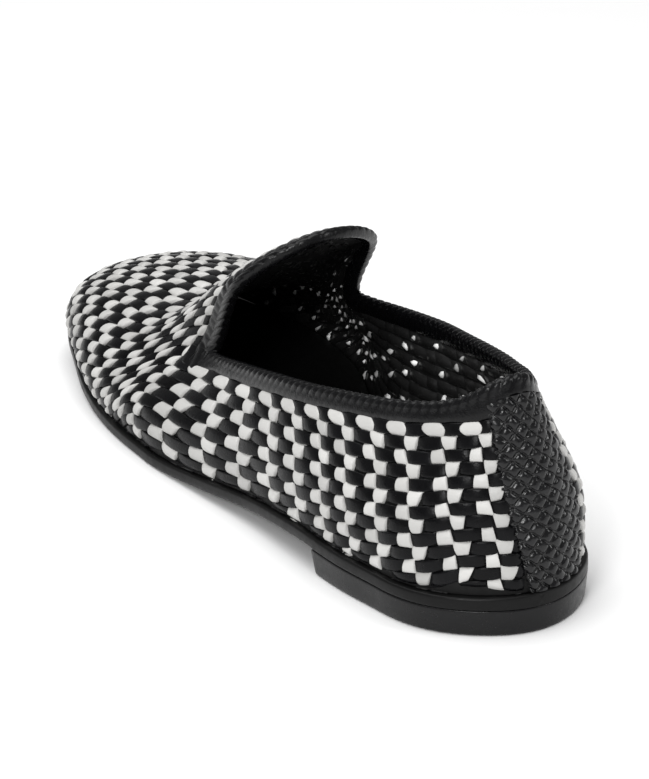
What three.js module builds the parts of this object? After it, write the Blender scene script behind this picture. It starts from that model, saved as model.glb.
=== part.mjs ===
// Woven loafer, left shoe: a thin leather sole with a low heel under a woven upper with a dome tongue.
// Millimetres. +X points to the toe, +Y to the outer side of the foot, +Z up, the floor is z = 0.
import * as THREE from 'three';
import { mergeVertices } from 'three/addons/utils/BufferGeometryUtils.js';

// Driving sizes
const LENGTH = 280;
const BALL_WIDTH = 92;
const HEEL_LIFT = 8.4;
const OUTSOLE_THICKNESS = 3.8;
const TOE_SPRING = 10.8;
const COLLAR_RISE = 62.5;
const TONGUE_RISE = 73.3;
const WALL = 2.2;
const STRIP_RELIEF = 0.8;
const STRIP_PITCH = 4.4;
const SOLE_EDGE = 1.5;
const INSOLE_THICKNESS = 2.2;
const BAND_HEIGHT = 5.5;
const BAND_PROUD = 0.4;
const CORNER_HEIGHT = 8.5;
const BINDING_WIDTH = 8.5;
const BINDING_PROUD = 0.5;
const COUNTER_WIDTH = 24;
const COUNTER_THICKNESS = 1.2;
const HEEL_TAPER = 0.8;
const GAP = 0.3;

// Places along the shoe, as shares of LENGTH from the back of the heel
const HEEL_ROUND = 0.13;
const BREAST = 0.25;
const TREAD_BACK = 0.62;
const TREAD_FRONT = 0.70;
const THROAT = 0.597;
const TOE_ROUND = 0.76;

// Sections of the last. at, centre, half and the other widths: shares of LENGTH and BALL_WIDTH.
// centre and half: the footprint. belly: how far the wall swells past it. shoulder: the collar line, and
// ahead of the throat the same line running on along the vamp. haunch: between shoulder and crown. aside: how
// far shoulder, haunch and crown lie to the outer side. shoulderUp, tilt: shares of COLLAR_RISE, tilt lifts
// the inner side. haunchUp, crownUp: shares of TONGUE_RISE. lean: how far the crown lies ahead of the
// footprint, a share of LENGTH.
const COLUMNS = ['at', 'centre', 'half', 'belly', 'shoulderHalf', 'aside', 'shoulderUp', 'tilt',
  'haunchHalf', 'haunchUp', 'crownUp', 'lean'];
const SECTIONS = [
  [0.000, 0.000, 0.315, 0.003, 0.160, 0.010, 1.013, 0.000, 0.232, 1.040, 1.00, 0.046],
  [0.050, 0.007, 0.342, 0.003, 0.172, 0.010, 0.890, 0.004, 0.215, 0.970, 1.00, 0.038],
  [0.130, 0.020, 0.351, 0.005, 0.216, 0.008, 0.808, 0.014, 0.196, 0.890, 1.00, 0.016],
  [0.200, 0.033, 0.366, 0.010, 0.260, 0.002, 0.752, 0.016, 0.223, 0.830, 1.00, 0.003],
  [0.300, 0.043, 0.364, 0.012, 0.306, -0.008, 0.675, 0.018, 0.261, 0.770, 1.00, 0.000],
  [0.400, 0.055, 0.353, 0.012, 0.327, -0.025, 0.638, 0.024, 0.283, 0.760, 1.00, -0.012],
  [0.500, 0.045, 0.387, 0.010, 0.315, -0.037, 0.613, 0.040, 0.261, 0.790, 1.01, -0.050],
  [0.597, 0.007, 0.448, 0.008, 0.286, -0.038, 0.587, 0.064, 0.252, 0.880, 1.03, -0.129],
  [0.628, -0.012, 0.465, 0.009, 0.296, -0.042, 0.568, 0.058, 0.252, 0.840, 0.985, -0.129],
  [0.660, -0.029, 0.480, 0.010, 0.322, -0.047, 0.520, 0.048, 0.247, 0.735, 0.875, -0.115],
  [0.700, -0.046, 0.489, 0.012, 0.370, -0.052, 0.425, 0.036, 0.255, 0.565, 0.680, -0.088],
  [0.740, -0.059, 0.488, 0.015, 0.402, -0.056, 0.355, 0.026, 0.266, 0.445, 0.522, -0.060],
  [0.800, -0.072, 0.472, 0.016, 0.408, -0.063, 0.305, 0.016, 0.264, 0.380, 0.434, -0.016],
  [0.880, -0.072, 0.449, 0.016, 0.395, -0.061, 0.232, 0.008, 0.250, 0.282, 0.316, 0.013],
  [0.950, -0.056, 0.460, 0.014, 0.373, -0.052, 0.128, 0.000, 0.230, 0.150, 0.166, 0.020],
  [0.980, -0.045, 0.455, 0.012, 0.345, -0.045, 0.061, 0.000, 0.205, 0.068, 0.075, 0.007],
  [1.000, -0.038, 0.445, 0.010, 0.330, -0.038, 0.000, 0.000, 0.190, 0.000, 0.000, 0.000],
];

// Shape of a section: how high the wall swells most, how far that point follows the shoulder to the side, how
// much of the tilt reaches the haunch, and how late the sole springs up to the toe
const BELLY_HEIGHT = 0.35;
const BELLY_ASIDE = 0.2;
const HAUNCH_TILT = 0.5;
const SPRING_CURVE = 1.8;

// Rows of strips up the wall and over the arch, and where their relief starts to run out to the toe
const WALL_CELLS = 12;
const ARCH_CELLS = 20;
const SMOOTH_TOE = 0.90;

// Cells of the other pieces along their length
const OUTSOLE_CELLS = 44;
const INSOLE_CELLS = 40;
const HEEL_CELLS = 16;
const COUNTER_CELLS = 16;
const COUNTER_ROWS = 9;

// Edge of the outsole from the ground up. inset, up: shares of OUTSOLE_THICKNESS
const SOLE_EDGE_ROWS = [[0.16, 0], [0, 0.24], [0, 0.79], [0.13, 1]];

// Rings of the heel from the ground up. inset: share of HEEL_TAPER, up: share of the heel's height
const HEEL_RINGS = [[1.75, 0], [1, 0.085], [0.4, 0.5], [0.12, 0.925], [0.6, 1]];

// The insole is drawn back from the toe by this much at its tip
const INSOLE_TOE = 8;

// Counter: spread of its width and turn to the inner side at the foot and at the collar, the smooth wall left
// beside it, its start above the feather and the rounding of its two long edges
const COUNTER_FOOT_SPREAD = 0.77;
const COUNTER_TOP_SPREAD = 1.2;
const COUNTER_FOOT_TURN = 0.184;
const COUNTER_TOP_TURN = 0.04;
const COUNTER_MARGIN = 0.12;
const COUNTER_LOW = 0.02;
const COUNTER_SIDE = 0.08;
const COUNTER_ROUND = 0.3;

// Edgings folded over a rim, as shares of their width and of how far they stand proud: where they are
// highest, how high, and where they turn over the rim
const FOLD_CREST = 0.5;
const FOLD_RISE = 1.6;
const FOLD_TURN = 0.12;
const BAND_END = 0.15;
const BINDING_INSIDE = 0.95;
const CORNER_MARGIN = 0.02;

const sectionTable = new THREE.CubicInterpolant(
  SECTIONS.map((row) => row[0]), SECTIONS.flat(), COLUMNS.length);

function sectionAt(share) {
  const row = sectionTable.evaluate(share);
  return Object.fromEntries(COLUMNS.map((name, index) => [name, row[index]]));
}

// Both ends of the footprint are round: its width falls to nothing along a quarter ellipse
function roundEnds(share) {
  if (share < HEEL_ROUND) {
    return Math.sqrt(Math.max(0, 1 - (1 - share / HEEL_ROUND) ** 2));
  }
  if (share > TOE_ROUND) {
    return Math.sqrt(Math.max(0, 1 - ((share - TOE_ROUND) / (1 - TOE_ROUND)) ** 2));
  }
  return 1;
}

function ease(share) {
  const inside = THREE.MathUtils.clamp(share, 0, 1);
  return inside * inside * (3 - 2 * inside);
}

// Underside of the outsole: level on the heel, down the arch to the flat tread, then up to the toe
function soleBottom(share) {
  const arch = HEEL_LIFT * (1 - ease((share - BREAST) / (TREAD_BACK - BREAST)));
  const spring = TOE_SPRING * Math.max(0, (share - TREAD_FRONT) / (1 - TREAD_FRONT)) ** SPRING_CURVE;
  return arch + spring;
}

function soleTop(share) {
  return soleBottom(share) + OUTSOLE_THICKNESS;
}

// Footprint, drawn in by inset: place along X, and the sides' half width and centre
function footprint(share, inset) {
  const row = sectionAt(share);
  return {
    x: -LENGTH / 2 + inset + share * (LENGTH - 2 * inset),
    centre: row.centre * BALL_WIDTH,
    half: (row.half * BALL_WIDTH - inset) * roundEnds(share),
  };
}

// The named points of one section, from the outer feather over the crown to the inner feather
function sectionCurve(share) {
  const row = sectionAt(share);
  const foot = footprint(share, SOLE_EDGE);
  const round = roundEnds(share);
  const base = soleTop(share) + GAP;
  const crownUp = row.crownUp * TONGUE_RISE;
  const place = (side, half, centre, up, lift) => {
    const climb = crownUp > 0 ? up / crownUp : 0;
    const x = foot.x + row.lean * LENGTH * climb * climb;
    return new THREE.Vector3(x, centre + side * half, base + up - side * lift);
  };
  const aside = row.aside * BALL_WIDTH;
  const shoulderUp = row.shoulderUp * COLLAR_RISE;
  const lift = row.tilt * COLLAR_RISE;
  const sides = [1, -1].map((side) => [
    place(side, foot.half, foot.centre, 0, 0),
    place(side, foot.half + row.belly * BALL_WIDTH * round,
      THREE.MathUtils.lerp(foot.centre, aside, BELLY_ASIDE), BELLY_HEIGHT * shoulderUp, 0),
    place(side, row.shoulderHalf * BALL_WIDTH * round, aside, shoulderUp, lift),
    place(side, row.haunchHalf * BALL_WIDTH * round, aside, row.haunchUp * TONGUE_RISE, lift * HAUNCH_TILT),
  ]);
  const crown = place(1, 0, aside, crownUp, 0);
  return [...sides[0], crown, ...sides[1].reverse()];
}

// A section as a fine polyline with its length, for rows at even distances. The outer wall runs from feather
// to shoulder, the arch from shoulder to shoulder.
const SEGMENT_STEPS = 12;
const OUTER_FEATHER = 0;
const OUTER_SHOULDER = 2;
const INNER_SHOULDER = 6;
const INNER_FEATHER = 8;
const sectionStore = new Map();

function sectionLine(share) {
  if (!sectionStore.has(share)) {
    const points = sectionCurve(share);
    const curve = new THREE.CatmullRomCurve3(points, false, 'centripetal');
    const count = (points.length - 1) * SEGMENT_STEPS;
    const line = Array.from({ length: count + 1 }, (_, index) => curve.getPoint(index / count));
    const run = [0];
    line.slice(1).forEach((point, index) => run.push(run[index] + point.distanceTo(line[index])));
    sectionStore.set(share, { line, run });
  }
  return sectionStore.get(share);
}

// Point at a share of the way along a stretch of the section, measured on the surface
function alongSection(share, from, to, part) {
  const { line, run } = sectionLine(share);
  const start = run[from * SEGMENT_STEPS];
  const end = run[to * SEGMENT_STEPS];
  const target = start + (end - start) * part;
  let index = Math.min(from, to) * SEGMENT_STEPS;
  while (index < Math.max(from, to) * SEGMENT_STEPS - 1 && run[index + 1] < target) {
    index += 1;
  }
  const span = run[index + 1] - run[index];
  const inside = span > 0 ? (target - run[index]) / span : 0;
  return line[index].clone().lerp(line[index + 1], inside);
}

function wallLength(share) {
  const { run } = sectionLine(share);
  return run[OUTER_SHOULDER * SEGMENT_STEPS];
}

// Walk round the shoe: 0 is the back of the heel, positive the outer side, negative the inner side.
// The first and the last unit of the walk turn the round heel and toe, the stretch between runs straight.
const TOE_TURN = 1 - TOE_ROUND;
const WALK_RATE = HEEL_ROUND * Math.PI / 2;
const WALK_STRAIGHT = 1 + (TOE_ROUND - HEEL_ROUND) / WALK_RATE;
const WALK_END = WALK_STRAIGHT + TOE_TURN * Math.PI / 2 / WALK_RATE;
const TIP_STEP = 0.06;
const WALK_TIP = WALK_END - TIP_STEP;

function shareOfWalk(walk) {
  const way = Math.abs(walk);
  if (way < 1) {
    return HEEL_ROUND * (1 - Math.cos(way * Math.PI / 2));
  }
  if (way < WALK_STRAIGHT) {
    return HEEL_ROUND + (way - 1) * WALK_RATE;
  }
  const turn = Math.min(Math.PI / 2, (way - WALK_STRAIGHT) * WALK_RATE / TOE_TURN);
  return TOE_ROUND + TOE_TURN * Math.sin(turn);
}

const walkOfShare = (share) => 1 + (share - HEEL_ROUND) / WALK_RATE;

// Outer face of the wall: part 0 at the feather, 1 at the collar line
function wallPoint(walk, part) {
  const share = shareOfWalk(walk);
  return walk >= 0 ? alongSection(share, OUTER_FEATHER, OUTER_SHOULDER, part)
    : alongSection(share, INNER_FEATHER, INNER_SHOULDER, part);
}

// Outer face over the instep: part 0 at the outer shoulder, 1 at the inner one
function archPoint(share, part) {
  return alongSection(share, OUTER_SHOULDER, INNER_SHOULDER, part);
}

// Point lifted off a face by its outward normal, taken from small steps on that face
function lifted(face, u, v, height, uStep, vStep, uRange, vRange) {
  const point = face(u, v);
  if (height === 0) {
    return point;
  }
  const u0 = Math.max(uRange[0], u - uStep);
  const u1 = Math.min(uRange[1], u + uStep);
  const v0 = Math.max(vRange[0], v - vStep);
  const v1 = Math.min(vRange[1], v + vStep);
  const alongU = face(u1, v).sub(face(u0, v));
  const alongV = face(u, v1).sub(face(u, v0));
  return point.addScaledVector(alongV.cross(alongU).normalize(), height);
}

// Steps for those normals along the walk, along the shoe and across it
const WALK_STEP = 0.02;
const SHARE_STEP = 0.004;
const PART_STEP = 0.02;
const onWall = (walk, part, height) => lifted(wallPoint, walk, part, height, WALK_STEP, PART_STEP,
  [-WALK_TIP, WALK_TIP], [0, 1]);
const onArch = (share, part, height) => lifted(archPoint, share, part, height, SHARE_STEP, PART_STEP,
  [THROAT, shareOfWalk(WALK_TIP)], [0, 1]);

// Closed solid from rings of equal count: sides between neighbours, a fan over each end
function loft(rings) {
  const soup = [];
  const face = (a, b, c) => soup.push(a, b, c);
  for (let index = 0; index < rings.length - 1; index += 1) {
    const near = rings[index];
    const far = rings[index + 1];
    near.forEach((point, corner) => {
      const next = (corner + 1) % near.length;
      face(point, near[next], far[corner]);
      face(near[next], far[next], far[corner]);
    });
  }
  const fan = (ring, flip) => {
    const middle = ring.reduce((sum, point) => sum.add(point), new THREE.Vector3()).divideScalar(ring.length);
    ring.forEach((point, corner) => {
      const next = ring[(corner + 1) % ring.length];
      if (flip) {
        face(middle, point, next);
      } else {
        face(middle, next, point);
      }
    });
  };
  fan(rings[0], false);
  fan(rings.at(-1), true);
  return soup;
}

// Triangle soup to a closed geometry with its faces outwards; points this close are one point
const MERGE_DISTANCE = 1e-4;

function closedGeometry(soup) {
  let volume = 0;
  for (let index = 0; index < soup.length; index += 3) {
    const [a, b, c] = soup.slice(index, index + 3);
    volume += a.dot(new THREE.Vector3().crossVectors(b, c)) / 6;
  }
  const points = [];
  for (let index = 0; index < soup.length; index += 3) {
    const [a, b, c] = soup.slice(index, index + 3);
    points.push(...(volume > 0 ? [a, b, c] : [a, c, b]));
  }
  const geometry = new THREE.BufferGeometry().setFromPoints(points);
  const merged = mergeVertices(geometry, MERGE_DISTANCE);
  merged.computeVertexNormals();
  return merged;
}

// The belt of the wall between two places of the walk, as fine steps with the length run so far
const BELT_STEPS = 400;
const BELT_HEIGHT = 0.5;

function belt(from, to) {
  const walks = Array.from({ length: BELT_STEPS + 1 }, (_, index) => from + (to - from) * index / BELT_STEPS);
  const points = walks.map((walk) => wallPoint(walk, BELT_HEIGHT));
  const run = [0];
  points.slice(1).forEach((point, index) => run.push(run[index] + point.distanceTo(points[index])));
  return { walks, run };
}

const beltLength = (from, to) => belt(from, to).run.at(-1);

// Evenly spaced stations between two places of the walk, measured along the belt of the wall
function evenWalk(from, to, cells) {
  const { walks, run } = belt(from, to);
  return Array.from({ length: cells + 1 }, (_, cell) => {
    const target = run.at(-1) * cell / cells;
    let index = 0;
    while (index < BELT_STEPS - 1 && run[index + 1] < target) {
      index += 1;
    }
    const inside = (target - run[index]) / (run[index + 1] - run[index]);
    return walks[index] + (walks[index + 1] - walks[index]) * inside;
  });
}

// The binding's width at the crown fixes where the woven arch begins behind it
const SEARCH_STEP = 0.0005;

function archStart() {
  const rim = archPoint(THROAT, 0.5);
  let share = THROAT;
  while (archPoint(share, 0.5).distanceTo(rim) < BINDING_WIDTH + GAP) {
    share += SEARCH_STEP;
  }
  return share;
}

const ARCH_START = archStart();

// Half the counter's width, measured round the belt from the back seam
function counterEdge() {
  const { walks, run } = belt(0, walkOfShare(BREAST));
  return walks[run.findIndex((length) => length >= COUNTER_WIDTH / 2)];
}

const COUNTER_EDGE = counterEdge();

// Stations of the wall a strip apart, from the back of the heel to the toe: quarter, throat corner, vamp.
// Each stretch has an even number of cells.
const throatWalk = walkOfShare(THROAT);
const archWalk = walkOfShare(ARCH_START);
const evenCells = (from, to) => 2 * Math.max(1, Math.round(beltLength(from, to) / STRIP_PITCH / 2));
const QUARTER_CELLS = evenCells(0, throatWalk);
const THROAT_CELLS = evenCells(throatWalk, archWalk);
const VAMP_CELLS = evenCells(archWalk, WALK_TIP);
const STATIONS = [
  ...evenWalk(0, throatWalk, QUARTER_CELLS),
  ...evenWalk(throatWalk, archWalk, THROAT_CELLS).slice(1),
  ...evenWalk(archWalk, WALK_TIP, VAMP_CELLS).slice(1),
];
const ARCH_STATION = QUARTER_CELLS + THROAT_CELLS;

// Height of the collar band at a place of the walk: full round the quarters, higher at the throat corner, and
// run out to nothing at the front edge of the tongue binding
function bandHeight(walk) {
  const past = (Math.abs(walk) - throatWalk) / (archWalk - throatWalk);
  const corner = BAND_HEIGHT + (CORNER_HEIGHT - BAND_HEIGHT) * ease(1 + past);
  return corner * THREE.MathUtils.clamp(1 - past, 0, 1);
}

const wallTop = (walk) => 1 - bandHeight(walk) / wallLength(shareOfWalk(walk));

// Woven strips: every second crossing stands proud. The relief runs out at the edges and under the counter.
function relief(walk, row, station) {
  const edge = COUNTER_EDGE + COUNTER_MARGIN;
  if (walk > -edge - COUNTER_FOOT_TURN && walk < edge - COUNTER_TOP_TURN) {
    return 0;
  }
  const fade = THREE.MathUtils.clamp((1 - shareOfWalk(walk)) / (1 - SMOOTH_TOE), 0, 1);
  return ((row + station) % 2 === 0 ? 0.5 : -0.5) * STRIP_RELIEF * fade;
}

// At the toe the inner face would run into the sole: its points stay just above it
function aboveSole(point) {
  point.z = Math.max(point.z, soleTop(point.x / LENGTH + 0.5) + GAP);
  return point;
}

// One face of the wall as a list of rows per station. depth 0 is outside, WALL inside. step 2 takes every
// second station and row.
function wallFace(depth, step) {
  const heightAt = (walk, row, station, edge) => {
    if (depth > 0 || edge) {
      return -depth;
    }
    return relief(walk, row, station);
  };
  const side = (sign, station) => {
    const walk = sign * STATIONS[station];
    const top = wallTop(walk);
    const rows = [];
    for (let row = 0; row <= WALL_CELLS; row += step) {
      const rim = row === 0 || (row === WALL_CELLS && station <= ARCH_STATION);
      rows.push(onWall(walk, top * row / WALL_CELLS, heightAt(walk, row, station, rim)));
    }
    rows[0].z = soleTop(shareOfWalk(walk)) + GAP;
    return rows.map(aboveSole);
  };
  const stations = [];
  for (let station = 0; station < STATIONS.length; station += step) {
    const outer = side(1, station);
    const inner = station === 0 ? outer : side(-1, station);
    const arch = [];
    if (station >= ARCH_STATION) {
      const walk = STATIONS[station];
      const share = shareOfWalk(walk);
      for (let row = step; row < ARCH_CELLS; row += step) {
        const rim = station === ARCH_STATION;
        arch.push(aboveSole(onArch(share, row / ARCH_CELLS, heightAt(walk, row + WALL_CELLS, station, rim))));
      }
    }
    stations.push({ outer, inner, arch });
  }
  const tipFoot = footprint(1, SOLE_EDGE);
  const tip = new THREE.Vector3(tipFoot.x - depth, tipFoot.centre, soleTop(1) + GAP);
  return { stations, tip };
}

const fullRow = (station) => [...station.outer, ...station.arch, ...[...station.inner].reverse()];

function faceTriangles(face, firstArch) {
  const soup = [];
  const strip = (near, far, flip) => {
    for (let row = 0; row < near.length - 1; row += 1) {
      const quad = [near[row], near[row + 1], far[row + 1], far[row]];
      if (flip) {
        quad.reverse();
      }
      soup.push(quad[0], quad[1], quad[2], quad[0], quad[2], quad[3]);
    }
  };
  face.stations.slice(1).forEach((far, index) => {
    const near = face.stations[index];
    if (index < firstArch) {
      strip(near.outer, far.outer, false);
      strip(near.inner, far.inner, true);
    } else {
      strip(fullRow(near), fullRow(far), false);
    }
  });
  const last = fullRow(face.stations.at(-1));
  last.slice(1).forEach((point, index) => soup.push(last[index], point, face.tip));
  return soup;
}

// The two rims of a face as open runs of points: along the feather, and round the opening
function rims(face, firstArch) {
  const feather = [
    ...face.stations.map((station) => station.outer[0]).reverse(),
    ...face.stations.slice(1).map((station) => station.inner[0]),
  ];
  const back = face.stations.slice(0, firstArch + 1);
  const opening = [
    ...back.map((station) => station.outer.at(-1)),
    ...face.stations[firstArch].arch,
    ...back.map((station) => station.inner.at(-1)).reverse(),
  ];
  return { feather: [face.tip, ...feather, face.tip], opening };
}

// Rim between a fine outer run and an inner run with half as many cells
function stitch(fine, coarse) {
  const soup = [];
  const face = (a, b, c) => soup.push(a, b, c);
  for (let index = 0; index < coarse.length - 1; index += 1) {
    const [start, middle, end] = fine.slice(2 * index, 2 * index + 3);
    face(coarse[index], start, middle);
    face(coarse[index], middle, coarse[index + 1]);
    face(coarse[index + 1], middle, end);
  }
  return soup;
}

// Rim between two runs, the outer one with twice the cells except where it ends on a single point
function stitchRuns(fine, coarse) {
  if (fine.length === 2 * coarse.length - 1) {
    return stitch(fine, coarse);
  }
  const ends = [fine.slice(0, 2), fine.slice(-2)];
  const body = stitch(fine.slice(1, -1), coarse.slice(1, -1));
  const head = [coarse[0], ends[0][0], ends[0][1], coarse[0], ends[0][1], coarse[1]];
  const tail = [coarse.at(-2), ends[1][0], ends[1][1], coarse.at(-2), ends[1][1], coarse.at(-1)];
  return [...head, ...body, ...tail];
}

// Shares of the length for a sole's sections, closer together at the round ends
const SOLE_END = 0.04;
const NARROWEST = 0.05;

function soleShares(cells) {
  return Array.from({ length: cells + 1 }, (_, cell) => shareOfWalk(
    THREE.MathUtils.lerp(SOLE_END, WALK_END - SOLE_END, cell / cells)));
}

function upperSolid() {
  const outside = wallFace(0, 1);
  const inside = wallFace(WALL, 2);
  const outer = faceTriangles(outside, ARCH_STATION);
  const inner = faceTriangles(inside, ARCH_STATION / 2);
  const outerRims = rims(outside, ARCH_STATION);
  const innerRims = rims(inside, ARCH_STATION / 2);
  const feather = stitchRuns(outerRims.feather, innerRims.feather);
  const opening = stitchRuns(outerRims.opening, innerRims.opening);
  const inwards = (soup) => soup.map((_, index) => soup[index - index % 3 + [0, 2, 1][index % 3]]);
  return closedGeometry([...outer, ...inwards(inner), ...inwards(feather), ...inwards(opening)]);
}

function outsoleSolid() {
  return closedGeometry(loft(soleShares(OUTSOLE_CELLS).map((share) => {
    const foot = footprint(share, 0);
    const edge = (side) => SOLE_EDGE_ROWS.map(([inset, up]) => new THREE.Vector3(
      foot.x,
      foot.centre + side * Math.max(NARROWEST, foot.half - inset * OUTSOLE_THICKNESS),
      soleBottom(share) + up * OUTSOLE_THICKNESS,
    ));
    return [...edge(1), ...edge(-1).reverse()];
  })));
}

function insoleSolid() {
  const inset = SOLE_EDGE + WALL + 2 * GAP;
  return closedGeometry(loft(soleShares(INSOLE_CELLS).map((share) => {
    const foot = footprint(share, inset);
    const past = Math.max(0, share - TOE_ROUND) / (1 - TOE_ROUND);
    const x = foot.x - INSOLE_TOE * past * past;
    const bottom = soleTop(x / LENGTH + 0.5) + GAP;
    const top = bottom + INSOLE_THICKNESS;
    const edge = (side, z) => new THREE.Vector3(x, foot.centre + side * foot.half, z);
    return [edge(1, bottom), edge(1, top), edge(-1, top), edge(-1, bottom)];
  })));
}

// Outline of the heel at an inset: round the back, straight across the breast
function heelRing(inset, z) {
  const side = (sign) => Array.from({ length: HEEL_CELLS }, (_, index) => {
    const way = (index + 1) / HEEL_CELLS;
    const share = shareOfWalk(walkOfShare(BREAST) * way);
    const foot = footprint(share, 0);
    const half = foot.half - inset * roundEnds(share);
    return new THREE.Vector3(foot.x + inset * (1 - 2 * way), foot.centre + sign * half, z);
  });
  const back = new THREE.Vector3(-LENGTH / 2 + inset, footprint(0, 0).centre, z);
  return [back, ...side(1), ...side(-1).reverse()];
}

function heelSolid() {
  const top = HEEL_LIFT - GAP;
  return closedGeometry(loft(HEEL_RINGS.map(([inset, up]) => heelRing(inset * HEEL_TAPER, up * top))));
}

// Counter strip over the back seam, just off the wall, from the feather to the collar band
function counterSolid() {
  const { lerp } = THREE.MathUtils;
  return closedGeometry(loft(Array.from({ length: COUNTER_CELLS + 1 }, (_, cell) => {
    const across = COUNTER_EDGE * (2 * cell / COUNTER_CELLS - 1);
    const walkAt = (part) => across * lerp(COUNTER_FOOT_SPREAD, COUNTER_TOP_SPREAD, part)
      - lerp(COUNTER_FOOT_TURN, COUNTER_TOP_TURN, part);
    const topWalk = walkAt(1);
    const top = wallTop(topWalk) - GAP / wallLength(shareOfWalk(topWalk));
    const parts = Array.from({ length: COUNTER_ROWS + 1 },
      (__, row) => lerp(COUNTER_LOW, top, row / COUNTER_ROWS));
    const way = lerp(COUNTER_SIDE, 1 - COUNTER_SIDE, cell / COUNTER_CELLS);
    const crown = Math.sin(Math.PI * way) ** COUNTER_ROUND;
    return [
      ...parts.map((part) => onWall(walkAt(part), part, GAP + COUNTER_THICKNESS * crown)),
      ...parts.reverse().map((part) => onWall(walkAt(part), part, GAP)),
    ];
  })));
}

// Ring of an edging folded over a rim: outside from its free edge to the rim, then back down the inside
function foldedRing(at, proud, inside) {
  return [
    at(1, proud), at(FOLD_CREST, proud * FOLD_RISE), at(FOLD_TURN, proud),
    at(0, -WALL / 2),
    at(FOLD_TURN, -WALL - proud), at(inside, -WALL - proud),
  ];
}

// Collar band: sits on the rim of the wall from one throat corner round the heel to the other
function bandSolid() {
  const half = [...STATIONS.slice(0, ARCH_STATION), archWalk - BAND_END * (archWalk - throatWalk)];
  const walks = [...half.slice(1).reverse().map((walk) => -walk), ...half];
  return closedGeometry(loft(walks.map((walk) => {
    const length = wallLength(shareOfWalk(walk));
    const height = bandHeight(walk) - (Math.abs(walk) > throatWalk ? 2 : 1) * GAP;
    return foldedRing((down, lift) => onWall(walk, 1 - down * height / length, lift), BAND_PROUD, 1);
  })));
}

// Tongue binding: along the rim of the dome, between the two throat corners
function bindingSolid() {
  const parts = Array.from({ length: ARCH_CELLS + 1 }, (_, cell) => THREE.MathUtils.clamp(
    cell / ARCH_CELLS, CORNER_MARGIN, 1 - CORNER_MARGIN));
  return closedGeometry(loft(parts.map((part) => {
    const width = archPoint(THROAT, part).distanceTo(archPoint(ARCH_START, part));
    const wide = (ARCH_START - THROAT) * (1 - 3 * GAP / width);
    return foldedRing((way, lift) => onArch(THROAT + wide * way, part, lift), BINDING_PROUD, BINDING_INSIDE);
  })));
}

// Finishes: colour, roughness, metalness
const leather = (color, roughness) => new THREE.MeshStandardMaterial({ color, roughness, metalness: 0 });
const NODES = [
  ['outsole', outsoleSolid, leather(0x1a1a1b, 0.45)],
  ['heel', heelSolid, leather(0x202021, 0.4)],
  ['insole', insoleSolid, leather(0x121212, 0.8)],
  ['upper', upperSolid, leather(0x8d8c8a, 0.55)],
  ['heel_counter', counterSolid, leather(0x1c1c1d, 0.4)],
  ['collar_band', bandSolid, leather(0x1b1b1c, 0.5)],
  ['tongue_binding', bindingSolid, leather(0x1b1b1c, 0.5)],
];

const shoe = new THREE.Group();
NODES.forEach(([name, build, material]) => {
  const mesh = new THREE.Mesh(build(), material);
  mesh.name = name;
  shoe.add(mesh);
});

// The origin is the middle of the shoe's outline on the floor
const middle = new THREE.Box3().setFromObject(shoe).getCenter(new THREE.Vector3());
shoe.children.forEach((mesh) => mesh.geometry.translate(-middle.x, -middle.y, 0));

export default shoe;
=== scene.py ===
"""Left woven loafer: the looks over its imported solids. The black and white weave is laid strip by strip
on the surface of the last; band, binding and counter are braided by fine relief.
Lengths are in millimetres until a mesh is made. +X points to the toe, +Y to the outer side, +Z up."""
import math

import bpy
import numpy as np
from mathutils import Matrix, Vector


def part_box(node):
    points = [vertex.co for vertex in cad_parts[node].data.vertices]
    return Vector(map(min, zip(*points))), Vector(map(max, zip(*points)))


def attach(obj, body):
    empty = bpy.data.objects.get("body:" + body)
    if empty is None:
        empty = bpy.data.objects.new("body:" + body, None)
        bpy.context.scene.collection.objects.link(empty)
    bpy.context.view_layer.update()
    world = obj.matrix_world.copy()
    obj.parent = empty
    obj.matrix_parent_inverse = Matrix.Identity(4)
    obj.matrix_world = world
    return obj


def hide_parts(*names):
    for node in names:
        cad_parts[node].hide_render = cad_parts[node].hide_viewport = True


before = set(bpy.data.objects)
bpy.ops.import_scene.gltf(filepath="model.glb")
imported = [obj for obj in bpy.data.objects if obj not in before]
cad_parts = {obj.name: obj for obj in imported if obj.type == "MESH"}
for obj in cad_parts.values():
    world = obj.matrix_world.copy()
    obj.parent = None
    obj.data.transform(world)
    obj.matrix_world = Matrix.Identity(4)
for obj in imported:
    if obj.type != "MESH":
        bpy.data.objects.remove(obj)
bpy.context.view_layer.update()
chance = np.random.default_rng(7)
MILLIMETRE = 0.001
TINY = 1e-9

# Driving sizes, as in the part's solids
LENGTH = 280.0
BALL_WIDTH = 92.0
HEEL_LIFT = 8.4
OUTSOLE_THICKNESS = 3.8
TOE_SPRING = 10.8
COLLAR_RISE = 62.5
TONGUE_RISE = 73.3
WALL = 2.2
SOLE_EDGE = 1.5
BAND_HEIGHT = 5.5
BINDING_WIDTH = 8.5
GAP = 0.3

# Places along the sole, as shares of its length, and shares that shape the sections
HEEL_ROUND = 0.13
BREAST = 0.25
TREAD_BACK = 0.62
TREAD_FRONT = 0.70
THROAT = 0.597
TOE_ROUND = 0.76
BELLY_HEIGHT = 0.35
BELLY_ASIDE = 0.2
HAUNCH_TILT = 0.5
SPRING_CURVE = 1.8

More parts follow.
